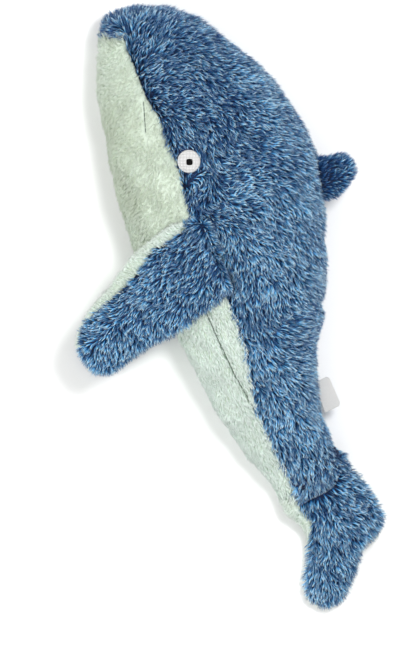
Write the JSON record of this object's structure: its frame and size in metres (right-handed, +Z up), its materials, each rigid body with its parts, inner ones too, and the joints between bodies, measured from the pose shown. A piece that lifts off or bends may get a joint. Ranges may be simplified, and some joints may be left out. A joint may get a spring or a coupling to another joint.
{
  "type": "plush dog toy",
  "caption": "Whale-shaped plush toy for dogs, with long blue pile, a mint belly, flapping fins, a folding tail, a sewn-in tag and a squeaker in its fill.",
  "frame": {"origin": "middle of the side that the toy rests on, under the middle of its length and width", "axes": "+Z up from the surface that the toy lies on, +Y from the tail to the head, +X from the belly to the back"},
  "size_m": [0.1996, 0.3894, 0.0758],
  "materials": {
    "long_pile": "matte",
    "short_pile": "matte",
    "felt": "matte",
    "black_thread": "matte",
    "woven_tag": "satin",
    "fill": "matte",
    "film": "satin",
    "squeaker_plastic": "satin",
    "reed_plastic": "satin"
  },
  "bodies": {
    "body": {"side_panel_left": "long_pile", "side_panel_right": "long_pile", "throat_panel_left": "short_pile", "throat_panel_right": "short_pile", "belly_panel": "short_pile", "head_stuffing": "fill", "chest_stuffing_left": "fill", "chest_stuffing_right": "fill", "tail_stuffing": "fill", "left_eye": "felt", "left_pupil": "black_thread", "right_eye": "felt", "right_pupil": "black_thread", "squeaker_base": "squeaker_plastic", "squeaker_bellows": "squeaker_plastic", "squeaker_reed_holder": "reed_plastic", "squeaker_reed": "reed_plastic"},
    "left_fin": {"left_fin_outer_panel": "long_pile", "left_fin_inner_panel": "short_pile", "left_fin_film": "film"},
    "right_fin": {"right_fin_outer_panel": "long_pile", "right_fin_inner_panel": "short_pile", "right_fin_film": "film"},
    "dorsal_fin": {"dorsal_fin_left_panel": "long_pile", "dorsal_fin_right_panel": "long_pile"},
    "tail_fluke": {"fluke_upper_panel": "long_pile", "fluke_lower_panel": "short_pile", "fluke_wadding": "fill"},
    "tag": {"side_tag": "woven_tag"},
    "squeaker_plunger": {"squeaker_top": "squeaker_plastic"}
  },
  "joints": [
    {"name": "left_fin_flap", "type": "hinge", "parent": "body", "child": "left_fin", "pos_m": [-0.01197, 0.03209, 0.06952], "axis": [-0.3891, 0.9212, 0], "range_deg": [0, 55]},
    {"name": "right_fin_flap", "type": "hinge", "parent": "body", "child": "right_fin", "pos_m": [-0.01013, 0.03287, 0.0063], "axis": [0.3891, -0.9212, 0], "range_deg": [0, 45]},
    {"name": "dorsal_fin_flop", "type": "hinge", "parent": "body", "child": "dorsal_fin", "pos_m": [0.05799, 0.08294, 0.03255], "axis": [-0.153, 0.9882, 0], "range_deg": [-30, 30], "stiffness_Nm_per_rad": 0.01},
    {"name": "tail_fold", "type": "hinge", "parent": "body", "child": "tail_fluke", "pos_m": [0.0537, -0.11526, 0.0142], "axis": [-0.7615, -0.6481, 0], "range_deg": [-25, 25]},
    {"name": "tag_flap", "type": "hinge", "parent": "body", "child": "tag", "pos_m": [0.0572, -0.0543, 0.02415], "axis": [-0.1908, 0.9816, 0], "range_deg": [-60, 60], "stiffness_Nm_per_rad": 0.0005},
    {"name": "squeaker_press", "type": "slide", "parent": "body", "child": "squeaker_plunger", "axis": [0, 0, -1], "range_m": [0, 0.007], "stiffness_N_per_m": 1100, "deforming": ["squeaker_bellows"]}
  ]
}
